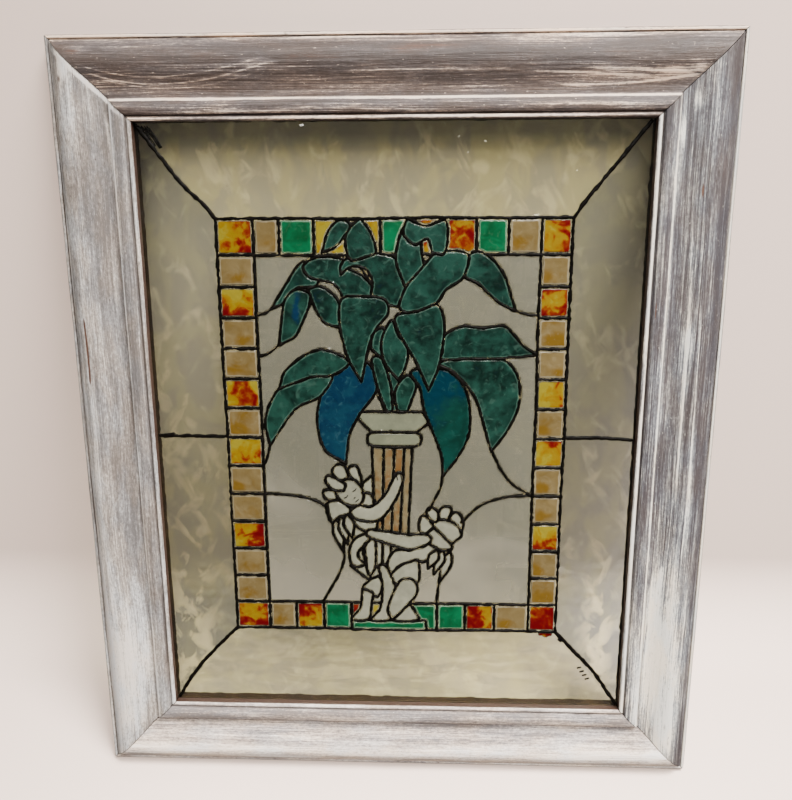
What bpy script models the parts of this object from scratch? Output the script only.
"""Stained glass window: a painted glass pane with raised black leading in a mitred wood frame.

The window stands upright. +Z is up, its front faces -Y and its back lies in the plane y = 0.
The origin is the middle of the top rail's back face, where the window hangs.
"""

import math

import bmesh
import bpy
from mathutils import Vector
from mathutils.geometry import convex_hull_2d, delaunay_2d_cdt, intersect_line_line_2d

# Frame
FRAME_WIDTH = 0.524
FRAME_HEIGHT = 0.626
RAIL_WIDTH = 0.0635
MITRE_CUT = 0.0003
LOOSE_MITRE_CUT = 0.0007
FIT_GAP = 0.0003

# Moulding: distances across from the outer edge, and heights above the back plane
LIP_ROUND, LIP_EDGE, LIP_HEIGHT = 0.0008, 0.0114, 0.0122
QUIRK_START, QUIRK_END, QUIRK_HEIGHT = 0.0028, 0.0038, 0.0106
SHOULDER_START, SHOULDER_HEIGHT = 0.0042, 0.0138
CREST_START, CREST_END, CREST_HEIGHT = 0.0190, 0.0202, 0.0238
COVE_END, COVE_FLAT_END, COVE_HEIGHT = 0.0452, 0.0466, 0.0147
BAND_START, BAND_END = 0.0474, 0.0584
BAND_OUTER_HEIGHT, BAND_INNER_HEIGHT, BAND_CROWN = 0.0190, 0.0190, 0.0018
GROOVE_START, GROOVE_END, GROOVE_HEIGHT = 0.0588, 0.0598, 0.0166
BEAD_START, BEAD_OUTER_HEIGHT, BEAD_INNER_HEIGHT, BEAD_CROWN = 0.0601, 0.0180, 0.0174, 0.0010
CURVE_STEPS = 8

# Pane, and the strips that hold it in the rabbet
PANE_WIDTH, PANE_HEIGHT, PANE_THICKNESS = 0.4064, 0.5080, 0.0030
PANE_BACK = 0.0080
PANE_SEAM = 0.0004
RABBET_DEPTH = 0.0053
STRIP_WIDTH = 0.0046
STRIP_EDGE = 0.0006

# Leading
LEAD_HEIGHT = 0.0013

# From here to the leading's outlines the picture is laid out in millimetres from the middle of
# the pane, x to the right and z up.
PICTURE_SCALE = 0.001
BORDER_LINE, PICTURE_LINE, PANEL_LINE = 2.5, 2.1, 2.9
CURVE_TOLERANCE = 0.3
CURVE_SAMPLES = 10
EGG_POINTS = 8
RIM_TOLERANCE = 0.15
SHARP_TURN = math.radians(55)
FLAT_TURN = math.radians(4)
CAP_SIDES = 8
WELD = 0.02
SHORTEST_LINE = 1.2
CROSSING_PRECISION = 0.001
SWAY, SWAY_SPAN = 0.5, 60.0

BORDER = {"left": -139.5, "right": 140.5, "top": 177.0, "bottom": -177.5}
FIELD = {"left": -110.0, "right": 116.5, "top": 148.7, "bottom": -152.0}
SIDE_TILES = 12
TOP_DIVIDERS = (-89.5, -62.0, -35.5, -9.5, 16.0, 41.0, 66.0, 91.0)
BOTTOM_DIVIDERS = (-86.5, -62.0, -38.0, -12.0, 13.0, 37.0, 61.5, 87.0)

# Leaves, front to back. A leaf's first point is its sharp tip.
LEAVES = {
    "broad_left": (
        (-26, 46), (-37, 66), (-43, 92), (-41, 114), (-24, 116), (-7, 114), (-4, 102), (-17, 84),
    ),
    "broad_right": (
        (29, 39), (19, 62), (4, 88), (3, 101), (20, 104), (36, 109), (41.5, 92), (38, 62),
    ),
    "inner_stem": ((4, 48), (-7, 62), (-9.5, 80), (-1, 97), (4, 85), (12.5, 74), (9.5, 57)),
    "small_stem": ((3.5, 21), (1.2, 38), (11, 52), (18.8, 44), (15, 31), (11.5, 21.5)),
    "slim_stem": ((-5.5, 21), (-12, 38), (-17.5, 64), (-9.5, 66), (-2.5, 46), (-0.8, 30), (-1, 21.5)),
    "back_stem": ((-10, 66), (-17.5, 74), (-16, 86), (-8, 91), (-6, 78)),
    "curl": (
        (31, 150), (27.5, 161), (18, 156.5), (9, 164), (12, 176), (26, 171), (41, 175.5),
        (43.5, 164), (41, 150),
    ),
    "upper_right": (
        (10.5, 124), (24, 139), (36, 151), (59, 149.5), (56, 131), (43, 122), (34, 110), (14, 103),
        (5, 108),
    ),
    "curl_stem": ((10.5, 122), (3.5, 140), (3, 152), (9, 170), (21, 168), (23, 150), (24, 138)),
    "upright": (
        (-25, 177), (-33, 170), (-37.5, 160), (-33.5, 145), (-22, 147), (-13, 151), (-17, 166),
    ),
    "small_left": ((-56, 150.5), (-51, 166), (-42, 176), (-33, 172.5), (-37.5, 163.5), (-45, 155)),
    "upper_centre": (
        (-41, 133.5), (-35, 138.5), (-28, 140), (-20.5, 137), (-16, 128), (-15.5, 115), (5, 108),
        (12, 122), (4.5, 144), (-10, 150), (-27, 147.5), (-37, 146), (-41.5, 140),
    ),
    "upper_left": (
        (-40, 115), (-47, 126), (-66, 131), (-71, 141), (-57, 147.5), (-37, 145), (-25, 138),
        (-13, 114),
    ),
    "far_right": (
        (98, 104), (90, 129), (80, 144), (67, 151.5), (58.5, 146), (57, 132), (68, 126), (83, 112),
    ),
    "drooping": (
        (-93, 76), (-90, 96), (-87, 113), (-78, 121.5), (-67, 119), (-67, 109), (-72, 98),
        (-79, 84),
    ),
    "inner_left": ((-68, 122), (-57, 124), (-44, 113), (-41, 93), (-54, 94), (-62, 105)),
    "far_left": (
        (-98, 106), (-85, 127), (-71, 144), (-60, 136), (-61, 124.5), (-77, 122.5), (-87, 111),
    ),
    "right_level": (
        (117, 68.5), (104, 77), (90, 92), (73, 90.5), (56, 92), (41, 84), (37, 66), (60, 65.5),
        (85, 65.5),
    ),
    "right_lower": (
        (81, -13), (94, 5), (103, 28), (101, 52), (87, 66), (60, 67), (37, 62), (50, 54), (66, 35),
        (75, 9),
    ),
    "teal": (
        (41, -35), (53, -19), (63, 5), (60, 38), (45, 56), (26, 58), (14, 54), (22, 41), (25, 23),
        (35, -3), (40, -17),
    ),
    "left_upper": ((-94, 40), (-87, 57), (-60, 73), (-36, 63), (-50, 51.5), (-68, 50)),
    "left_lower": ((-103.5, -9), (-107, 14), (-94, 41), (-72, 52), (-50, 52), (-60, 34), (-82, 22)),
    "blue": (
        (-40, -24), (-58, -12), (-63.5, 16), (-55, 46), (-36, 63), (-20, 62), (-13.5, 40),
        (-28, 19), (-37, 0),
    ),
}

# Column: a bell capital, a round ring and a fluted shaft
CAPITAL = ((-27, 21), (23.5, 21), (30.5, 12.5), (19.5, 3.5), (-19, 3.5), (-30.5, 16))
RING_CENTRE, RING_HALF_LENGTH, RING_HEIGHT = (0.5, -2.8), 16.5, 12.4
SHAFT_TOP, SHAFT_FOOT = -9.0, -117.0
FLUTES_TOP = (-18.0, -8.3, 0.6, 9.0, 15.6)
FLUTES_FOOT = (-16.5, -10.5, -3.5, 3.5, 10.5)

FEATHER_WIDTH = 9.0

# Child on the right: a head of thick locks, a reaching arm, a wing and a kneeling leg. As on the
# leaves, a lock's first point is its sharp tip.
RIGHT_ARM = ((-20, -87, 8), (-4, -91, 11), (13, -94.5, 14), (27, -92, 10))
RIGHT_LOCKS = {
    "back": ((49, -96), (34, -80.5), (35, -76), (42, -73.5), (50, -76), (55.5, -81.5), (57.5, -88.5)),
    "crown": ((45.5, -75), (38.5, -73), (38.5, -66), (43, -61.5), (48.5, -63), (48, -69)),
    "front": ((35.5, -77), (29.5, -73), (27.5, -67), (31.5, -62.5), (37, -66), (38, -72)),
    "side": ((57.5, -87), (52.5, -80), (47, -75), (50.5, -67), (56, -68.5), (59, -76)),
    "nape": ((34, -80.5), (27.5, -86.5), (22, -85), (21, -77), (24, -70), (30, -73.5)),
}
RIGHT_NECK = ((28, -88), (34, -81), (48.5, -95.5), (48.5, -101), (40, -101.5), (30, -95.5))
RIGHT_WING = {
    "roots": ((37, -102), (42, -102.5), (48, -103.5)),
    "tips": ((29, -119), (34, -124), (39.5, -131)),
}
RIGHT_SHAPES = {
    "calf": (
        (-2, -168), (-6, -158), (-1, -142), (5, -131), (13, -128.5), (19, -133), (19.5, -143),
        (9, -157),
    ),
    "foot": ((8, -157), (14, -154), (18.5, -161), (20, -168.5), (-1, -168.5)),
    "thigh": ((-3, -125), (4, -117), (13, -113), (21, -112.5), (20, -133), (2, -135)),
    "hip": ((-3, -127), (-6, -114), (1, -102), (14, -102), (28, -95), (39, -100), (27, -112), (12, -113.5)),
}

# Child on the left: a head of thick locks, a raised arm, a wing, a sash and a standing leg
LEFT_ARM = ((-31, -68, 13), (-16, -68.5, 14), (-3, -54, 10), (4.5, -36, 8))
LEFT_FACE = {"centre": (-37, -50.5), "size": (13.2, 11.2), "tilt": -50, "taper": 0.16}
LEFT_LOCKS = {
    "fringe": (
        (-42.5, -48.5), (-41, -43), (-47, -38.5), (-55, -34.5), (-58.5, -38.5), (-55, -45),
        (-49.5, -48.5),
    ),
    "temple": ((-26.5, -44.5), (-33.5, -39.5), (-38.5, -33), (-37, -27), (-31.5, -26.5), (-28.5, -33)),
    "crown": ((-38.5, -38.5), (-46, -39.5), (-51.5, -34), (-51, -27.5), (-45, -24.5), (-40, -28.5)),
    "nape": ((-47, -56), (-48, -50), (-54, -47.5), (-60, -48.5), (-59.5, -54), (-55, -57.5)),
}
LEFT_NECK = ((-58, -61), (-48, -57), (-38, -63), (-38, -69), (-47, -72), (-54, -77))
LEFT_WING = {
    "roots": ((-40.5, -70), (-45.5, -72), (-50.5, -75)),
    "tips": ((-36, -92), (-40, -97), (-44, -104)),
}
LEFT_SHAPES = {
    "chest": ((-39, -67), (-31, -72), (-20, -73), (-15, -72), (-15, -82), (-22, -86), (-33, -80)),
    "shin": ((-28, -138), (-19, -143), (-20, -153), (-23, -168), (-38, -168), (-30, -157)),
    "knee": ((-20, -129), (-13, -127), (-10.5, -136), (-14, -146), (-20, -144), (-28, -138)),
    "sash_inner": ((-24, -96), (-31, -104), (-30, -111), (-25, -114), (-27, -105)),
    "sash": ((-22, -86), (-34, -92), (-39, -104), (-36, -117), (-25, -115), (-26, -98), (-21, -93)),
    "skirt": ((-26, -94), (-16.5, -93), (-16.5, -118), (-22, -126), (-25, -112)),
    "hem": ((-38, -117), (-24, -115), (-21, -130), (-30, -124)),
    "trunk": (
        (-14, -117), (-8, -116), (1, -134), (-5.5, -158), (-4.5, -168.5), (-21, -168.5),
        (-13, -158), (-10.5, -137),
    ),
}

# Single lines that divide the clear field, from the border to the picture
FIELD_LINES = (
    ((-110, 100.5), (-103, 102.5), (-96, 107.5)),
    ((-110, 67), (-101, 70), (-91, 78)),
    ((-110, -27), (-106, -18), (-103.5, -7)),
    ((-110, -51.5), (-88, -52.5), (-70, -56), (-57, -63)),
    ((-57, -61), (-56, -70), (-52.5, -79)),
    ((-43.5, -100), (-43.5, -112), (-49, -127), (-63, -152)),
    ((81, -11), (88, -26), (99, -41), (116.5, -52)),
    ((116.5, -51), (96, -52.5), (74, -60), (57, -76)),
    ((41, -33), (39, -46), (30, -65)),
    ((97, 104.5), (107, 101.5), (116.5, 100.5)),
    ((39, -128), (37.5, -140), (36.5, -152)),
    ((-36, 138), (-28, 135), (-22, 131), (-16, 124)),
    ((-13, 34), (-9.5, 29), (-7, 21.5)),
    ((-28, -43), (-18, -34)),
    ((-27, -50), (-20, -51), (-15.5, -59)),
)
# The strip of ground below them
GROUND = ((-38, -168.5), (2, -168.5), (11, -166.5), (19, -168.5), (27, -168.5), (28.5, -178), (-38, -178))
PANEL_LINES = (
    ((-139.5, 177), (-147, 187), (-160, 199), (-172, 213), (-184, 229), (-196, 246)),
    ((140.5, 176.5), (148, 188), (158, 200.5), (168, 214), (180, 230), (195.5, 247.5)),
    ((-139.5, -177.5), (-155, -192.5), (-170, -209), (-184, -227), (-196, -247)),
    ((140.5, -177.5), (153, -190.5), (166, -205), (176, -216), (186, -231), (196.4, -247)),
    ((-139.5, -1), (-165, -1.3), (-196.5, -0.6)),
    ((140.5, -0.8), (170, -0.4), (196.5, -2)),
)


def bow(start, end, crown, steps=CURVE_STEPS):
    """Points from start to end on a parabola that stands crown above the straight line."""
    (u0, h0), (u1, h1) = start, end
    parts = [i / steps for i in range(steps + 1)]
    return [(u0 + (u1 - u0) * t, h0 + (h1 - h0) * t + 4 * crown * t * (1 - t)) for t in parts]


def moulding_profile():
    """The rail's section, as (distance in from the outer edge, height above the back)."""
    lip = [(0.0, 0.0), (0.0, LIP_EDGE), (LIP_ROUND, LIP_HEIGHT), (QUIRK_START, LIP_HEIGHT)]
    quirk = [(QUIRK_START, QUIRK_HEIGHT), (QUIRK_END, QUIRK_HEIGHT)]
    rise = CREST_HEIGHT - SHOULDER_HEIGHT
    shoulder = bow((SHOULDER_START, SHOULDER_HEIGHT), (CREST_START, CREST_HEIGHT), rise / 4)
    drop, run = CREST_HEIGHT - COVE_HEIGHT, COVE_END - CREST_END
    angles = [math.pi * i / CURVE_STEPS for i in range(CURVE_STEPS + 1)]
    cove = [(CREST_END + run * a / math.pi, COVE_HEIGHT + drop * (1 + math.cos(a)) / 2) for a in angles]
    band = bow((BAND_START, BAND_OUTER_HEIGHT), (BAND_END, BAND_INNER_HEIGHT), BAND_CROWN)
    groove = [(GROOVE_START, GROOVE_HEIGHT), (GROOVE_END, GROOVE_HEIGHT)]
    bead = bow((BEAD_START, BEAD_OUTER_HEIGHT), (RAIL_WIDTH, BEAD_INNER_HEIGHT), BEAD_CROWN, 6)
    shelf = PANE_BACK + PANE_THICKNESS + FIT_GAP
    rabbet_wall = RAIL_WIDTH - RABBET_DEPTH
    rabbet = [(RAIL_WIDTH, shelf), (rabbet_wall, shelf), (rabbet_wall, 0.0)]
    return lip + quirk + shoulder + cove + [(COVE_FLAT_END, COVE_HEIGHT)] + band + groove + bead + rabbet


def material(name, colour, roughness, metallic=0.0, transmission=0.0):
    """A plain Principled material."""
    made = bpy.data.materials.new(name)
    made.use_nodes = True
    shader = made.node_tree.nodes["Principled BSDF"]
    shader.inputs["Base Color"].default_value = (*colour, 1.0)
    shader.inputs["Roughness"].default_value = roughness
    shader.inputs["Metallic"].default_value = metallic
    shader.inputs["Transmission Weight"].default_value = transmission
    return made


def add_object(name, mesh_data, finish, parent):
    """Makes a named object of a bmesh and frees the bmesh."""
    bmesh.ops.recalc_face_normals(mesh_data, faces=mesh_data.faces[:])
    mesh = bpy.data.meshes.new(name)
    mesh_data.to_mesh(mesh)
    mesh_data.free()
    mesh.materials.append(finish)
    made = bpy.data.objects.new(name, mesh)
    made.parent = parent
    bpy.context.scene.collection.objects.link(made)
    return made


def add_rail(name, length, across, turn, cut, finish, parent):
    """A mitred rail of this length, whose outer edge lies half of across from the middle."""
    rail = bmesh.new()
    profile = moulding_profile()
    ends = []
    for side in (-1, 1):
        corners = [(side * (length / 2 - u - cut), -h, across / 2 - u) for u, h in profile]
        ends.append([rail.verts.new(corner) for corner in corners])
    for i in range(len(profile)):
        j = (i + 1) % len(profile)
        rail.faces.new((ends[0][i], ends[0][j], ends[1][j], ends[1][i]))
    rail.faces.new(ends[0])
    rail.faces.new(reversed(ends[1]))
    made = add_object(name, rail, finish, parent)
    made.rotation_euler = (0.0, turn, 0.0)
    made.data.shade_smooth()
    made.data.set_sharp_from_angle(angle=math.radians(24))
    return made


def add_slab(name, size, centre, edge, finish, parent):
    """A flat slab with bevelled edges."""
    slab = bmesh.new()
    bmesh.ops.create_cube(slab, size=1.0)
    bmesh.ops.scale(slab, vec=Vector(size), verts=slab.verts)
    bmesh.ops.bevel(slab, geom=slab.edges[:], offset=edge, segments=1, affect="EDGES")
    made = add_object(name, slab, finish, parent)
    made.location = centre
    return made


def through(points, closed=False, sharp=()):
    """Samples of the smooth curve through the points, which breaks at the sharp ones."""
    count = len(points)
    spans = count if closed else count - 1
    samples = []
    for i in range(spans):
        b, c = Vector(points[i]), Vector(points[(i + 1) % count])
        at_start = i in sharp or (not closed and i == 0)
        at_end = (i + 1) % count in sharp or (not closed and i + 1 == count - 1)
        a = 2 * b - c if at_start else Vector(points[i - 1])
        d = 2 * c - b if at_end else Vector(points[(i + 2) % count])
        for k in range(CURVE_SAMPLES):
            t = k / CURVE_SAMPLES
            cubic = (2 * a - 5 * b + 4 * c - d) * t**2 + (3 * b - a - 3 * c + d) * t**3
            samples.append((2 * b + (c - a) * t + cubic) / 2)
    if not closed:
        samples.append(Vector(points[-1]))
    return samples


def thinned(line):
    """The line with only the points that it needs to stay within the tolerance."""
    if len(line) < 3:
        return line
    chord = line[-1] - line[0]
    normal = Vector((-chord.y, chord.x)).normalized() if chord.length > WELD else None
    offsets = [abs((p - line[0]).dot(normal)) if normal else (p - line[0]).length for p in line]
    far = max(range(len(line)), key=offsets.__getitem__)
    if offsets[far] < CURVE_TOLERANCE:
        return [line[0], line[-1]]
    return thinned(line[: far + 1])[:-1] + thinned(line[far:])


def closed_outline(points, sharp=(0,)):
    """A closed outline through the points, as a thinned line that ends where it starts."""
    ring = through(points, closed=True, sharp=sharp)
    half = len(ring) // 2
    return thinned(ring[: half + 1])[:-1] + thinned(ring[half:] + ring[:1])


def corner_outline(points):
    """A closed outline with straight sides."""
    corners = [Vector(p) for p in points]
    return corners + corners[:1]


def egg(centre, size, tilt, taper):
    """An egg-shaped outline whose narrow end points at tilt degrees from x."""
    lean = math.radians(tilt)
    along, across = Vector((math.cos(lean), math.sin(lean))), Vector((-math.sin(lean), math.cos(lean)))
    points = []
    for i in range(EGG_POINTS):
        angle = math.tau * i / EGG_POINTS
        width = size[1] * math.sin(angle) * (1 - taper * math.cos(angle))
        points.append(Vector(centre) + along * size[0] * math.cos(angle) + across * width)
    return closed_outline(points, sharp=())


def limb(stations):
    """A limb's outline around centre points with widths, rounded at both ends."""
    centres = [Vector(s[:2]) for s in stations]
    left, right = [], []
    for i, (centre, station) in enumerate(zip(centres, stations)):
        ahead = (centres[min(i + 1, len(centres) - 1)] - centres[max(i - 1, 0)]).normalized()
        side = Vector((-ahead.y, ahead.x)) * station[2] / 2
        left.append(centre + side)
        right.append(centre - side)
    first = (centres[0] - centres[1]).normalized() * stations[0][2] / 2
    last = (centres[-1] - centres[-2]).normalized() * stations[-1][2] / 2
    points = [centres[0] + first, *left, centres[-1] + last, *reversed(right)]
    return closed_outline(points, sharp=())


def feathers(wing):
    """A wing's feathers, each round at its root and pointed at its tip."""
    made = []
    for root, tip in zip(map(Vector, wing["roots"]), map(Vector, wing["tips"])):
        run = tip - root
        side = Vector((-run.y, run.x)).normalized() * FEATHER_WIDTH / 2
        middle = root + run * 0.4
        made.append(closed_outline([tip, middle + side, root, middle - side]))
    return made


def flute_lines():
    """The upright lines of the column's shaft, from left to right."""
    ends = zip(FLUTES_TOP, FLUTES_FOOT)
    return [[Vector((top, SHAFT_TOP)), Vector((foot, SHAFT_FOOT))] for top, foot in ends]


def picture_shapes():
    """The picture's closed shapes, front to back."""
    right = [limb(RIGHT_ARM), *map(closed_outline, RIGHT_LOCKS.values()), closed_outline(RIGHT_NECK, ())]
    right += feathers(RIGHT_WING) + [closed_outline(points) for points in RIGHT_SHAPES.values()]
    fringe, *locks = map(closed_outline, LEFT_LOCKS.values())
    left = [limb(LEFT_ARM), fringe, egg(**LEFT_FACE), *locks, closed_outline(LEFT_NECK, ())]
    left += feathers(LEFT_WING) + [closed_outline(points) for points in LEFT_SHAPES.values()]
    leaves = [closed_outline(points) for points in LEAVES.values()]
    x, z = RING_CENTRE
    ring = limb([(x - RING_HALF_LENGTH, z, RING_HEIGHT), (x + RING_HALF_LENGTH, z, RING_HEIGHT)])
    flutes = flute_lines()
    shaft = [*flutes[0], *reversed(flutes[-1])]
    column = [corner_outline(CAPITAL), ring, corner_outline(shaft)]
    return right + left + [corner_outline(GROUND)] + leaves + column


def swaying(start, end, phase):
    """A long straight line as a hand lays it, with a slight sway."""
    start, end = Vector(start), Vector(end)
    run = end - start
    side = Vector((-run.y, run.x)).normalized()
    spans = max(1, round(run.length / SWAY_SPAN))
    sway = [SWAY * math.sin(phase + 2.4 * i) if 0 < i < spans else 0.0 for i in range(spans + 1)]
    return [start + run * i / spans + side * s for i, s in enumerate(sway)]


def box_lines(box, phase):
    """The four sides of a rectangle."""
    left, right, top, bottom = (box[side] for side in ("left", "right", "top", "bottom"))
    corners = [(left, top), (right, top), (right, bottom), (left, bottom)]
    return [swaying(corners[i], corners[(i + 1) % 4], phase + i) for i in range(4)]


def tile_dividers():
    """The short lines that part the border into tiles."""
    lines = []
    for side in ("left", "right"):
        for i in range(SIDE_TILES + 1):
            level = FIELD["top"] + (FIELD["bottom"] - FIELD["top"]) * i / SIDE_TILES
            lines.append([Vector((BORDER[side], level)), Vector((FIELD[side], level))])
    for edge, dividers in (("top", TOP_DIVIDERS), ("bottom", BOTTOM_DIVIDERS)):
        for across in (FIELD["left"], *dividers, FIELD["right"]):
            lines.append([Vector((across, BORDER[edge])), Vector((across, FIELD[edge]))])
    return lines


def inside(point, outline):
    """True if the point is inside the closed outline."""
    crossings = 0
    for a, b in zip(outline, outline[1:]):
        if (a.y > point.y) != (b.y > point.y):
            crossings += point.x < a.x + (point.y - a.y) * (b.x - a.x) / (b.y - a.y)
    return crossings % 2 == 1


def visible(line, fronts):
    """The stretches of a line that no shape in front of it hides."""
    stretches, current = [], []
    for a, b in zip(line, line[1:]):
        cuts = {0.0, 1.0}
        for outline in fronts:
            for c, d in zip(outline, outline[1:]):
                crossing = intersect_line_line_2d(a, b, c, d)
                if crossing is not None:
                    cuts.add(min(1.0, (crossing - a).length / (b - a).length))
        steps = sorted(cuts)
        for t0, t1 in zip(steps, steps[1:]):
            p, q = a.lerp(b, t0), a.lerp(b, t1)
            if (q - p).length < WELD:
                continue
            if any(inside((p + q) / 2, outline) for outline in fronts):
                if current:
                    stretches.append(current)
                current = []
            else:
                current = current + [q] if current else [p, q]
    return stretches + [current] if current else stretches


def blob(centre, width):
    """A round dab."""
    angles = [math.tau * (i + 0.5) / CAP_SIDES for i in range(CAP_SIDES)]
    return [centre + Vector((math.cos(a), math.sin(a))) * width / 2 for a in angles]


def ribbon(line, width, tips):
    """Flat four-sided pieces along a line, with shared corners, and dabs at sharp turns and tips."""
    starts = [0]
    for i in range(1, len(line) - 1):
        turn = (line[i] - line[i - 1]).angle(line[i + 1] - line[i])
        if turn > SHARP_TURN:
            starts.append(i)
    starts.append(len(line) - 1)
    pieces = [blob(p, width) for p in tips if min((p - line[0]).length, (p - line[-1]).length) < WELD]
    pieces += [blob(line[i], width) for i in starts[1:-1]]
    for first, last in zip(starts, starts[1:]):
        run = line[first : last + 1]
        sides = []
        for i, point in enumerate(run):
            before = (point - run[i - 1]).normalized() if i else (run[1] - point).normalized()
            after = (run[i + 1] - point).normalized() if i + 1 < len(run) else before
            middle = (before + after).normalized()
            normal = Vector((-middle.y, middle.x)) * width / 2 / max(0.7, middle.dot(before))
            sides.append((point + normal, point - normal))
        for (a, b), (c, d) in zip(sides, sides[1:]):
            quad = [a, b, d, c]
            pieces.append([quad[i] for i in convex_hull_2d(quad)])
    return pieces


def drawn(line, fronts, width):
    """The pieces of a line where it shows, apart from scraps that its neighbours cover."""
    pieces = []
    for stretch in visible(line, fronts):
        if sum((b - a).length for a, b in zip(stretch, stretch[1:])) > SHORTEST_LINE:
            pieces += ribbon(stretch, width, (line[0], line[-1]))
    return pieces


def lead_pieces():
    """Every flat piece of the leading's pattern, still overlapping."""
    shapes = picture_shapes()
    pieces = []
    for i, outline in enumerate(shapes):
        pieces += drawn(outline, shapes[:i], PICTURE_LINE)
    singles = [thinned(through(points)) for points in FIELD_LINES]
    borders = box_lines(BORDER, 0.3) + box_lines(FIELD, 1.7) + tile_dividers()
    panels = [thinned(through(points)) for points in PANEL_LINES]
    for lines, fronts, width in (
        (flute_lines()[1:-1], shapes[:-1], PICTURE_LINE),
        (singles, [], PICTURE_LINE),
        (borders, shapes, BORDER_LINE),
        (panels, [], PANEL_LINE),
    ):
        for line in lines:
            pieces += drawn(line, fronts, width)
    return pieces


def merged(pieces):
    """The pieces' common area, as points and triangles."""
    points, faces = [], []
    for piece in pieces:
        faces.append(list(range(len(points), len(points) + len(piece))))
        points += piece
    made = delaunay_2d_cdt(points, [], faces, 0, CROSSING_PRECISION)
    triangles = [f for f, sources in zip(made[2], made[5]) if sources]
    return made[0], triangles


def thin_rim(network):
    """Drops the rim's points that lie almost on the line between their neighbours."""
    for vert in list(network.verts):
        if len(vert.link_edges) == 2:
            a, b = (edge.other_vert(vert).co for edge in vert.link_edges)
            chord = b - a
            reach = (vert.co - a).dot(chord) / max(chord.length_squared, PICTURE_SCALE**2 * WELD)
            if (vert.co - a - chord * min(1.0, max(0.0, reach))).length < RIM_TOLERANCE * PICTURE_SCALE:
                bmesh.utils.vert_collapse_edge(vert, vert.link_edges[0])


def add_leading(finish, parent):
    """The raised black lines, as one flat-backed network on the pane's front."""
    points, triangles = merged(lead_pieces())
    network = bmesh.new()
    back = PANE_BACK + PANE_THICKNESS + FIT_GAP
    front = [network.verts.new((p.x * PICTURE_SCALE, -back, p.y * PICTURE_SCALE)) for p in points]
    for triangle in triangles:
        network.faces.new([front[i] for i in triangle])
    bmesh.ops.delete(network, geom=[v for v in network.verts if not v.link_faces], context="VERTS")
    bmesh.ops.dissolve_limit(network, angle_limit=FLAT_TURN, verts=network.verts[:], edges=network.edges[:])
    thin_rim(network)
    bmesh.ops.triangulate(network, faces=network.faces[:])
    solid = bmesh.ops.extrude_face_region(network, geom=network.faces[:])
    raised = [v for v in solid["geom"] if isinstance(v, bmesh.types.BMVert)]
    bmesh.ops.translate(network, vec=(0.0, -LEAD_HEIGHT, 0.0), verts=raised)
    return add_object("leading", network, finish, parent)


def build_window():
    """Clears the scene and builds the window."""
    for old in list(bpy.data.objects):
        bpy.data.objects.remove(old)
    centre = bpy.data.objects.new("window_centre", None)
    centre.location = (0.0, 0.0, (RAIL_WIDTH - FRAME_HEIGHT) / 2)
    bpy.context.scene.collection.objects.link(centre)

    rails = (
        ("top_rail", FRAME_WIDTH, FRAME_HEIGHT, 0.0, MITRE_CUT, (0.36, 0.31, 0.28)),
        ("right_stile", FRAME_HEIGHT, FRAME_WIDTH, math.pi / 2, MITRE_CUT, (0.42, 0.41, 0.40)),
        ("bottom_rail", FRAME_WIDTH, FRAME_HEIGHT, math.pi, LOOSE_MITRE_CUT, (0.62, 0.60, 0.57)),
        ("left_stile", FRAME_HEIGHT, FRAME_WIDTH, -math.pi / 2, MITRE_CUT, (0.50, 0.49, 0.48)),
    )
    for name, length, across, turn, cut, colour in rails:
        add_rail(name, length, across, turn, cut, material(f"{name}_paint", colour, 0.6), centre)

    glass = material("clear_glass", (0.85, 0.85, 0.78), 0.1, transmission=1.0)
    pane_size = (PANE_WIDTH, PANE_THICKNESS, PANE_HEIGHT)
    pane_middle = (0, -PANE_BACK - PANE_THICKNESS / 2, 0)
    add_slab("glass_pane", pane_size, pane_middle, PANE_SEAM, glass, centre)

    strip_depth = PANE_BACK - FIT_GAP
    inset = RAIL_WIDTH - RABBET_DEPTH + FIT_GAP
    across, up = FRAME_WIDTH / 2 - inset, FRAME_HEIGHT / 2 - inset
    flat, upright = 2 * across, 2 * (up - STRIP_WIDTH - FIT_GAP)
    strips = (
        ("top_strip", (flat, strip_depth, STRIP_WIDTH), 0.0, up - STRIP_WIDTH / 2),
        ("bottom_strip", (flat, strip_depth, STRIP_WIDTH), 0.0, STRIP_WIDTH / 2 - up),
        ("left_strip", (STRIP_WIDTH, strip_depth, upright), STRIP_WIDTH / 2 - across, 0.0),
        ("right_strip", (STRIP_WIDTH, strip_depth, upright), across - STRIP_WIDTH / 2, 0.0),
    )
    for name, size, x, z in strips:
        wood = material(f"{name}_wood", (0.33, 0.22, 0.13), 0.7)
        add_slab(name, size, (x, -strip_depth / 2, z), STRIP_EDGE, wood, centre)

    add_leading(material("relief_black", (0.012, 0.011, 0.010), 0.45), centre)


build_window()
